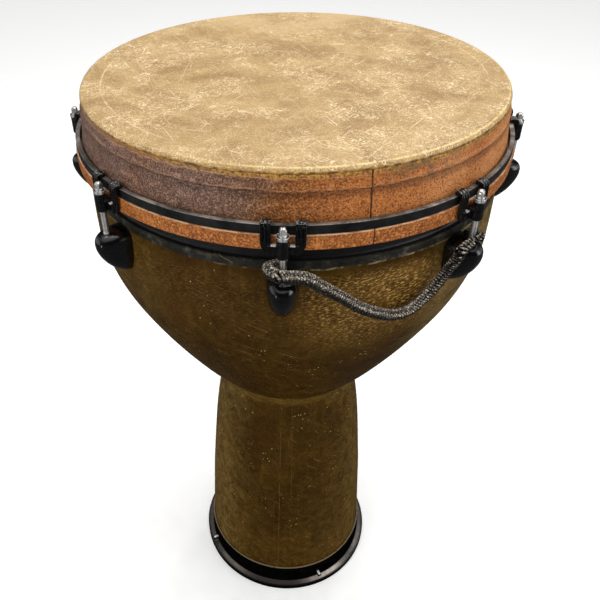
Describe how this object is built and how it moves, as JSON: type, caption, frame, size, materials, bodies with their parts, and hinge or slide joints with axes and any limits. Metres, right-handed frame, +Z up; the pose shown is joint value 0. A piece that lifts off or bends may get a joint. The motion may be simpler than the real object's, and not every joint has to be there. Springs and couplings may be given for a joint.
{
  "type": "djembe",
  "caption": "Goblet-shaped hand drum with a film head, a key-tuned counter-hoop on lugs and rods, a rope handle and a rubber foot ring.",
  "frame": {"origin": "centre of the foot ring's underside, on the floor", "axes": "+Z up along the drum's axis, -Y towards station 1, the lug and rod that hold the left end of the rope handle"},
  "size_m": [0.411, 0.4141, 0.635],
  "materials": {
    "shell_finish": "olive brown fabric-textured film over a moulded fibre shell, worn satin",
    "head_film": "tan fibre-reinforced film with pale fibre marks",
    "collar_film": "mottled brown and orange printed film, satin",
    "hoop_film": "orange-brown film wrapped round the flesh hoop, satin",
    "ring_black": "black powder coat, worn grey on the top face",
    "black_hardware": "black coat, semi-gloss",
    "lug_black": "gloss black",
    "chrome": "bright plated steel",
    "zinc_steel": "zinc-plated steel",
    "rope": "charcoal braided rope with pale flecks",
    "foot_rubber": "black rubber, worn grey sheen on the flange"
  },
  "bodies": {
    "drum": {"shell": "shell_finish", "head_membrane": "head_film", "head_collar": "collar_film", "foot_ring": "foot_rubber", "rope_eye_left": "rope", "rope_eye_right": "rope", "foot_screw_1": "black_hardware", "foot_screw_2": "black_hardware", "foot_screw_3": "black_hardware", "lug_1": "lug_black", "lug_2": "lug_black", "lug_3": "lug_black", "lug_4": "lug_black", "lug_5": "lug_black", "lug_6": "lug_black", "lug_7": "lug_black", "lug_8": "lug_black", "swivel_nut_1": "zinc_steel", "swivel_nut_2": "zinc_steel", "swivel_nut_3": "zinc_steel", "swivel_nut_4": "zinc_steel", "swivel_nut_5": "zinc_steel", "swivel_nut_6": "zinc_steel", "swivel_nut_7": "zinc_steel", "swivel_nut_8": "zinc_steel", "lug_bolt_1": "zinc_steel", "lug_bolt_2": "zinc_steel", "lug_bolt_3": "zinc_steel", "lug_bolt_4": "zinc_steel", "lug_bolt_5": "zinc_steel", "lug_bolt_6": "zinc_steel", "lug_bolt_7": "zinc_steel", "lug_bolt_8": "zinc_steel"},
    "counter_hoop": {"tension_ring": "ring_black", "flesh_hoop": "hoop_film", "claw_1": "black_hardware", "claw_2": "black_hardware", "claw_3": "black_hardware", "claw_4": "black_hardware", "claw_5": "black_hardware", "claw_6": "black_hardware", "claw_7": "black_hardware", "claw_8": "black_hardware", "rod_washer_1": "chrome", "rod_washer_2": "chrome", "rod_washer_3": "chrome", "rod_washer_4": "chrome", "rod_washer_5": "chrome", "rod_washer_6": "chrome", "rod_washer_7": "chrome", "rod_washer_8": "chrome"},
    "rod_1": {"tension_rod_1": "chrome"},
    "rod_2": {"tension_rod_2": "chrome"},
    "rod_3": {"tension_rod_3": "chrome"},
    "rod_4": {"tension_rod_4": "chrome"},
    "rod_5": {"tension_rod_5": "chrome"},
    "rod_6": {"tension_rod_6": "chrome"},
    "rod_7": {"tension_rod_7": "chrome"},
    "rod_8": {"tension_rod_8": "chrome"},
    "handle": {"rope_handle": "rope"}
  },
  "joints": [
    {"name": "tuning_travel", "type": "slide", "parent": "drum", "child": "counter_hoop", "axis": [0, 0, -1], "range_m": [-0.006, 0.003], "deforming": ["head_collar"]},
    {"name": "rod_1_turn", "type": "hinge", "parent": "counter_hoop", "child": "rod_1", "pos_m": [0, -0.195, 0.57], "axis": [0, 0, -1], "range_deg": [-2060, 1040]},
    {"name": "rod_2_turn", "type": "hinge", "parent": "counter_hoop", "child": "rod_2", "pos_m": [0.13789, -0.13789, 0.57], "axis": [0, 0, -1], "range_deg": [-2060, 1040]},
    {"name": "rod_3_turn", "type": "hinge", "parent": "counter_hoop", "child": "rod_3", "pos_m": [0.195, 0, 0.57], "axis": [0, 0, -1], "range_deg": [-2060, 1040]},
    {"name": "rod_4_turn", "type": "hinge", "parent": "counter_hoop", "child": "rod_4", "pos_m": [0.13789, 0.13789, 0.57], "axis": [0, 0, -1], "range_deg": [-2060, 1040]},
    {"name": "rod_5_turn", "type": "hinge", "parent": "counter_hoop", "child": "rod_5", "pos_m": [0, 0.195, 0.57], "axis": [0, 0, -1], "range_deg": [-2060, 1040]},
    {"name": "rod_6_turn", "type": "hinge", "parent": "counter_hoop", "child": "rod_6", "pos_m": [-0.13789, 0.13789, 0.57], "axis": [0, 0, -1], "range_deg": [-2060, 1040]},
    {"name": "rod_7_turn", "type": "hinge", "parent": "counter_hoop", "child": "rod_7", "pos_m": [-0.195, 0, 0.57], "axis": [0, 0, -1], "range_deg": [-2060, 1040]},
    {"name": "rod_8_turn", "type": "hinge", "parent": "counter_hoop", "child": "rod_8", "pos_m": [-0.13789, -0.13789, 0.57], "axis": [0, 0, -1], "range_deg": [-2060, 1040]},
    {"name": "handle_swing", "type": "hinge", "parent": "drum", "child": "handle", "pos_m": [0.06894, -0.16644, 0.565], "axis": [-0.9239, -0.3827, 0], "range_deg": [0, 80]}
  ],
  "couplings": [
    {"joint": "rod_1_turn", "follows": "tuning_travel", "rad_per_m": 5937.1},
    {"joint": "rod_2_turn", "follows": "tuning_travel", "rad_per_m": 5937.1},
    {"joint": "rod_3_turn", "follows": "tuning_travel", "rad_per_m": 5937.1},
    {"joint": "rod_4_turn", "follows": "tuning_travel", "rad_per_m": 5937.1},
    {"joint": "rod_5_turn", "follows": "tuning_travel", "rad_per_m": 5937.1},
    {"joint": "rod_6_turn", "follows": "tuning_travel", "rad_per_m": 5937.1},
    {"joint": "rod_7_turn", "follows": "tuning_travel", "rad_per_m": 5937.1},
    {"joint": "rod_8_turn", "follows": "tuning_travel", "rad_per_m": 5937.1}
  ]
}
